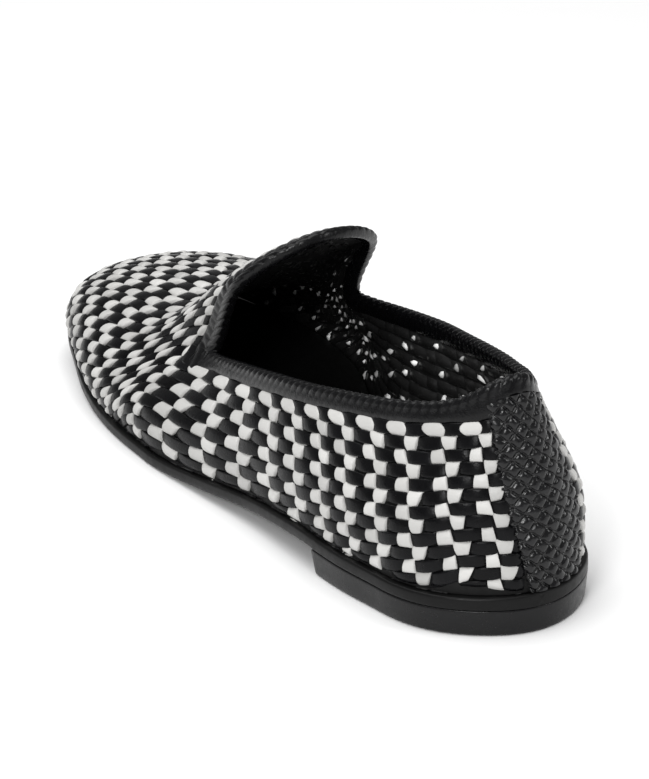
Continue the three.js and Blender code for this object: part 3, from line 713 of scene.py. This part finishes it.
def ridge_wave(phase, sharp=2.4):
    """Rounded ridges with narrow grooves, one for each unit of phase; from 0 to 1."""
    return 1 - np.abs(2 * (phase % 1) - 1) ** sharp


def braid_tone(wave, level, contrast):
    """Tone of a swept braid's points, painted darker in the grooves as painted shade, and of the hubs of its
    two ends.
    """
    tone = level + contrast * (wave - 0.5) + chance.normal(0, BRAID_STRAY, wave.shape)
    return np.append(np.clip(tone, 0, 1).ravel(), [HUB_TONE, HUB_TONE])


# Collar band: wraps over the rim of the quarters, its edge whipped with a slanting thread of leather
BAND_PROFILE = np.array([
    # depth under the shoulder line, height off the wall, depth of the whipping
    [5.9, -0.6, 0.00], [5.7, 0.15, 0.03], [5.2, 0.50, 0.08], [4.2, 0.66, 0.12], [3.2, 0.68, 0.10],
    [2.2, 0.62, 0.12], [1.5, 0.66, 0.35], [0.8, 0.60, 0.50], [0.0, 0.30, 0.60], [-0.5, -0.35, 0.60],
    [-0.7, -1.10, 0.60], [-0.5, -1.85, 0.60], [0.0, -2.45, 0.50], [0.8, -2.80, 0.40], [1.8, -2.95, 0.20],
    [3.5, -2.90, 0.10], [5.2, -2.70, 0.00], [5.9, -2.10, 0.00]])
BAND_STEPS = 1100
BAND_END = 0.03
BAND_HEART = (1.5, -1.1)
THREAD_PITCH = 3.5
THREAD_SLANT = 0.13
THROAT_SWELL = 0.5
COUNTER_SWELL = 1.0
SWELL_FROM = 2
THROAT_UP, SEAM_UP = (0.2, 0.3), (0.1, 0.2)
band_walks = np.linspace(-arch_walk + BAND_END, arch_walk - BAND_END, BAND_STEPS)
band_run = run_along(wall(band_walks, np.ones(BAND_STEPS)))[:, None]
by_throat = ease((np.abs(band_walks) - throat_walk + THROAT_UP[0]) / THROAT_UP[1])
off_seam = ease((band_walks - SEAM_UP[0]) / SEAM_UP[1])
swell = (1 + THROAT_SWELL * by_throat + COUNTER_SWELL * (by_counter(band_walks) * off_seam))[:, None]
wave = ridge_wave(band_run / THREAD_PITCH + np.arange(len(BAND_PROFILE)) * THREAD_SLANT)
out_d, out_h = BAND_PROFILE[:, 0] - BAND_HEART[0], BAND_PROFILE[:, 1] - BAND_HEART[1]
size = np.hypot(out_d, out_h)
depth = BAND_PROFILE[:, 0] + out_d / size * BAND_PROFILE[:, 2] * (wave - WAVE_LEVEL)
depth = np.where(depth > SWELL_FROM, SWELL_FROM + (depth - SWELL_FROM) * swell, depth)
height = BAND_PROFILE[:, 1] + out_h / size * BAND_PROFILE[:, 2] * (wave - WAVE_LEVEL)
walks = np.broadcast_to(band_walks[:, None], depth.shape)
points, faces = swept(on_wall(walks, 1 - depth / wall_length(walks), height))
# tone painted darker in the grooves of the whipping: painted shade
shown("collar_band_whipped", points, faces, finish["braid_leather"], "collar_band",
      tone=braid_tone(wave, 0.35, 0.4))

# Tongue binding: a flat braid of two slanting rows outside, rolled over the rim of the dome
BINDING_PROFILE = np.array([
    # way from the rim to the front edge, height off the wall, depth of the braid
    [1.06, -0.5, 0.0], [1.03, 0.20, 0.1], [0.95, 0.50, 0.3], [0.85, 0.60, 0.45], [0.75, 0.62, 0.45],
    [0.65, 0.60, 0.40], [0.55, 0.55, 0.25], [0.50, 0.50, 0.10], [0.45, 0.55, 0.25], [0.35, 0.62, 0.45],
    [0.25, 0.66, 0.50], [0.15, 0.66, 0.50], [0.05, 0.50, 0.45], [-0.02, 0.05, 0.40], [-0.05, -0.60, 0.35],
    [-0.06, -1.20, 0.3], [-0.05, -1.90, 0.2], [-0.01, -2.45, 0.1], [0.10, -2.80, 0.0], [0.40, -2.85, 0.0],
    [0.80, -2.75, 0.0], [1.04, -2.40, 0.0]])
BINDING_STEPS = 420
PLAIT_PITCH = 4.0
PLAIT_SLANT = 1.6
parts = np.linspace(0.0, 1.0, BINDING_STEPS)[:, None]
rim_run = run_along(look_up(ARCH, np.full(BINDING_STEPS, throat_walk), parts[:, 0]))[:, None]
way = BINDING_PROFILE[:, 0]
wave = ridge_wave(rim_run / PLAIT_PITCH + np.where(way > 0.5, 1 - way, way) * PLAIT_SLANT)
height = BINDING_PROFILE[:, 1] + BINDING_PROFILE[:, 2] * (wave - WAVE_LEVEL)
walks = throat_walk + (arch_walk - throat_walk) * np.broadcast_to(way, wave.shape)
points, faces = swept(on_arch(walks, np.broadcast_to(parts, wave.shape), height))
# tone painted darker in the grooves of the plait: painted shade
shown("tongue_braid", points, faces, finish["braid_leather"], "tongue_binding",
      tone=braid_tone(wave, 0.3, 0.5))

# Throat corners: the band's end, gathered over the corner in folds
# Their tone is painted darker in the hollows of the folds and lighter on the crests: painted shade
CORNER_STEPS = 48
CORNER_BACK, CORNER_FRONT = 0.03, 0.10
CORNER_ABOVE, CORNER_DROP, CORNER_NARROW = 1.5, 11, 2.0
CORNER_ROUND = 8
CORNER_SINK, CORNER_RISE = -0.5, 0.9
FOLDS, FOLD_SLANT, FOLD_SHARP, FOLD_DEPTH = 2.6, 0.9, 1.6, 0.55
CORNER_HOLLOW_SHADE, CORNER_CREST_LIGHT = 0.2, 0.4
for name, side in (("corner_outer", 1), ("corner_inner", -1)):
    u, v = np.meshgrid(*[np.linspace(0, 1, CORNER_STEPS)] * 2, indexing="ij")
    walks = side * (throat_walk - CORNER_BACK + (arch_walk - throat_walk + CORNER_FRONT) * u)
    deep = -CORNER_ABOVE + CORNER_DROP * v - CORNER_NARROW * u * v
    edge = np.minimum(np.minimum(u, 1 - u), np.minimum(v, 1 - v)) * CORNER_ROUND
    folds = ridge_wave(FOLDS * u + FOLD_SLANT * v, FOLD_SHARP)
    height = CORNER_SINK + (CORNER_RISE + FOLD_DEPTH * folds) * np.clip(edge, 0, 1) ** 0.5
    points = on_wall(walks, 1 - deep / wall_length(walks), height)
    shown(name, points, grid_faces(*u.shape), finish["braid_leather"], "collar_band",
          tone=(CORNER_HOLLOW_SHADE + CORNER_CREST_LIGHT * folds).ravel())

# Counter: a basket of slanting strips over the back seam, turned to the outer side towards the foot
# Its tone is painted darker between the strips and where they dip at crossings, lighter on their tops:
# painted shade
COUNTER_ROWS, COUNTER_COLUMNS = 240, 90
COUNTER_EDGE = 0.315
FOOT_TURN, TOP_TURN = 0.184, 0.04
FOOT_SPREAD, TOP_SPREAD = 0.80, 1.22
COUNTER_UNDER_BAND = 0.6
COUNTER_HALF = 12.5
COUNTER_CELL = 5.4
COUNTER_BASE, COUNTER_RELIEF = 0.3, 1.05
STRIP_SHARP, CROSSING_SHARP = 2.6, 3.0
RAG_FROM, RAG_WAVES = 0.96, ((0.03, 1.8), (0.02, 4.1))
COUNTER_GROOVE_SHADE, COUNTER_RIDGE_LIGHT = 0.2, 0.5
COUNTER_SINK = -0.5
u, v = np.meshgrid(np.linspace(-1, 1, COUNTER_COLUMNS), np.linspace(0, 1, COUNTER_ROWS), indexing="ij")
spread = FOOT_SPREAD + (TOP_SPREAD - FOOT_SPREAD) * v
walks = COUNTER_EDGE * u * spread - FOOT_TURN + (FOOT_TURN - TOP_TURN) * v
length = wall_length(walks)
part = v * (1 - (BAND_HEIGHT - COUNTER_UNDER_BAND) / length)
across, up = u * COUNTER_HALF, part * length
rising, falling = (up + across) / COUNTER_CELL, (up - across) / COUNTER_CELL
over = (np.floor(rising) + np.floor(falling)) % 2 == 0
across_strip, along_strip = np.where(over, falling, rising), np.where(over, rising, falling)
wave = ridge_wave(across_strip, STRIP_SHARP) * ridge_wave(along_strip, CROSSING_SHARP) ** 0.5
ragged = RAG_FROM + sum(size * np.sin(up * rate) for size, rate in RAG_WAVES)
height = np.where(np.abs(u) > ragged, COUNTER_SINK, COUNTER_BASE + COUNTER_RELIEF * wave)
shown("counter_braid", on_wall(walks, part, height), grid_faces(COUNTER_COLUMNS, COUNTER_ROWS),
      finish["counter_leather"], "heel_counter",
      tone=np.clip(COUNTER_GROOVE_SHADE + COUNTER_RIDGE_LIGHT * wave, 0, 1).ravel())

# Sole and heel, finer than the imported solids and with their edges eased
NARROWEST = 0.05


def outline(walk, inset):
    x, centre, half = footprint(float(share_of_walk(walk)), 0)
    return x, centre, max(NARROWEST, half - inset)


def both_sides(places):
    """Points on both sides of the middle, from x, centre, half width and height."""
    return [(x, c + h, z) for x, c, h, z in places] + [(x, c - h, z) for x, c, h, z in places[::-1]]


SOLE_PROFILE = [
    # inset, inset over the heel, height from the sole's bottom
    (1.0, 0.25, 0.0), (0.35, 0.1, 0.15), (0.05, 0.02, 0.7), (0.0, 0.0, 1.6), (0.0, 0.0, 2.9),
    (0.2, 0.2, 3.5), (0.7, 0.7, 3.8)]
SOLE_STEPS = 220
SOLE_END = 0.03
rings = []
for walk in np.linspace(SOLE_END, WALK_END - SOLE_END, SOLE_STEPS):
    share = float(share_of_walk(walk))
    bottom = sole_bottom(share)
    rings.append(both_sides([(*outline(walk, over_heel if share < BREAST else inset), bottom + rise)
                             for inset, over_heel, rise in SOLE_PROFILE]))
points, faces = swept(np.array(rings))
shown("sole_edge", points, faces, finish["sole_leather"], "outsole")

HEEL_PROFILE = [
    # inset, height
    (1.6, 0.0), (1.0, 0.25), (0.8, 0.9), (0.55, 3.0), (0.3, 5.5), (0.1, 7.4), (0.1, 8.0), (0.3, 8.2)]
HEEL_STEPS = 70
BREAST_CURVE = 3
heel_walks = np.linspace(0, walk_of_share(BREAST), HEEL_STEPS)[1:]
rings = []
for inset, z in HEEL_PROFILE:
    places = []
    for walk in heel_walks:
        x, centre, half = outline(walk, 0)
        pull = inset * (1 - 2 * (walk / heel_walks[-1]) ** BREAST_CURVE)
        places.append((x + pull, centre, half - inset * round_ends(float(share_of_walk(walk))), z))
    rings.append([(-LENGTH / 2 + inset, 0.0, z)] + both_sides(places))
points, faces = swept(np.array(rings))
shown("heel_block", points, faces, finish["heel_leather"], "heel")

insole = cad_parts["insole"]
insole.data.materials.clear()
insole.data.materials.append(finish["lining_leather"])

# Floor and light
FLOOR_TONE = 0.93
FLOOR_ROUGHNESS = 0.7
FLOOR_SIZE = 12
FLOOR_DROP = 0.0002
WORLD_LIGHT = 0.3
floor_material = bpy.data.materials.new("floor")
floor_material.use_nodes = True
floor_shader = floor_material.node_tree.nodes["Principled BSDF"]
floor_shader.inputs["Base Color"].default_value = (FLOOR_TONE, FLOOR_TONE, FLOOR_TONE, 1)
floor_shader.inputs["Roughness"].default_value = FLOOR_ROUGHNESS
bpy.ops.mesh.primitive_plane_add(size=FLOOR_SIZE, location=(0, 0, -FLOOR_DROP))
floor = bpy.context.object
floor.name = "floor"
floor.data.materials.append(floor_material)

world = bpy.context.scene.world or bpy.data.worlds.new("world")
bpy.context.scene.world = world
world.use_nodes = True
world.node_tree.nodes["Background"].inputs["Color"].default_value = (1, 1, 1, 1)
world.node_tree.nodes["Background"].inputs["Strength"].default_value = WORLD_LIGHT

# Soft lamps: name, place, what it is aimed at, size and power
for name, place, aim, size, power in (
        ("over", (0.1, 0.2, 1.3), (0, 0, 0), 1.3, 18),
        ("behind_right", (-0.75, -0.55, 0.55), (-0.05, 0, 0.03), 0.25, 2),
        ("left", (-0.85, 0.8, 0.65), (0, 0, 0.03), 0.35, 7)):
    lamp = bpy.data.lights.new(name, "AREA")
    lamp.size, lamp.energy = size, power
    item = bpy.data.objects.new(name, lamp)
    bpy.context.collection.objects.link(item)
    item.location = place
    item.rotation_mode = "QUATERNION"
    item.rotation_quaternion = (Vector(aim) - Vector(place)).to_track_quat("-Z", "Y")

# Camera: behind the shoe on its outer side, rolled a little, as the photo was taken
AZIMUTH, ELEVATION, ROLL = math.radians(27.774), math.radians(23.363), math.radians(2.246)
DISTANCE = 1.4794
PIVOT_HEIGHT = 0.0193
AIM = Vector((-0.004, 0.0, 0.026))
LENS = 265.0
SENSOR = 36.0
back = Vector((-math.cos(ELEVATION) * math.cos(AZIMUTH), math.cos(ELEVATION) * math.sin(AZIMUTH),
               math.sin(ELEVATION)))
station = Vector((0, SIDE_SHIFT * MILLIMETRE, PIVOT_HEIGHT)) + back * DISTANCE
look = (AIM - station).normalized()
right = look.cross(Vector((0, 0, 1))).normalized()
upward = right.cross(look)
side_axis = right * math.cos(ROLL) - upward * math.sin(ROLL)
up_axis = right * math.sin(ROLL) + upward * math.cos(ROLL)
camera = bpy.data.cameras.new("camera")
camera.sensor_fit, camera.sensor_width, camera.lens = "HORIZONTAL", SENSOR, LENS
camera.clip_start, camera.clip_end = 0.05, 20
eye = bpy.data.objects.new("camera", camera)
bpy.context.collection.objects.link(eye)
eye.matrix_world = Matrix.Translation(station) @ Matrix((side_axis, up_axis, -look)).transposed().to_4x4()
bpy.context.scene.camera = eye
bpy.context.scene.view_settings.view_transform = "Standard"
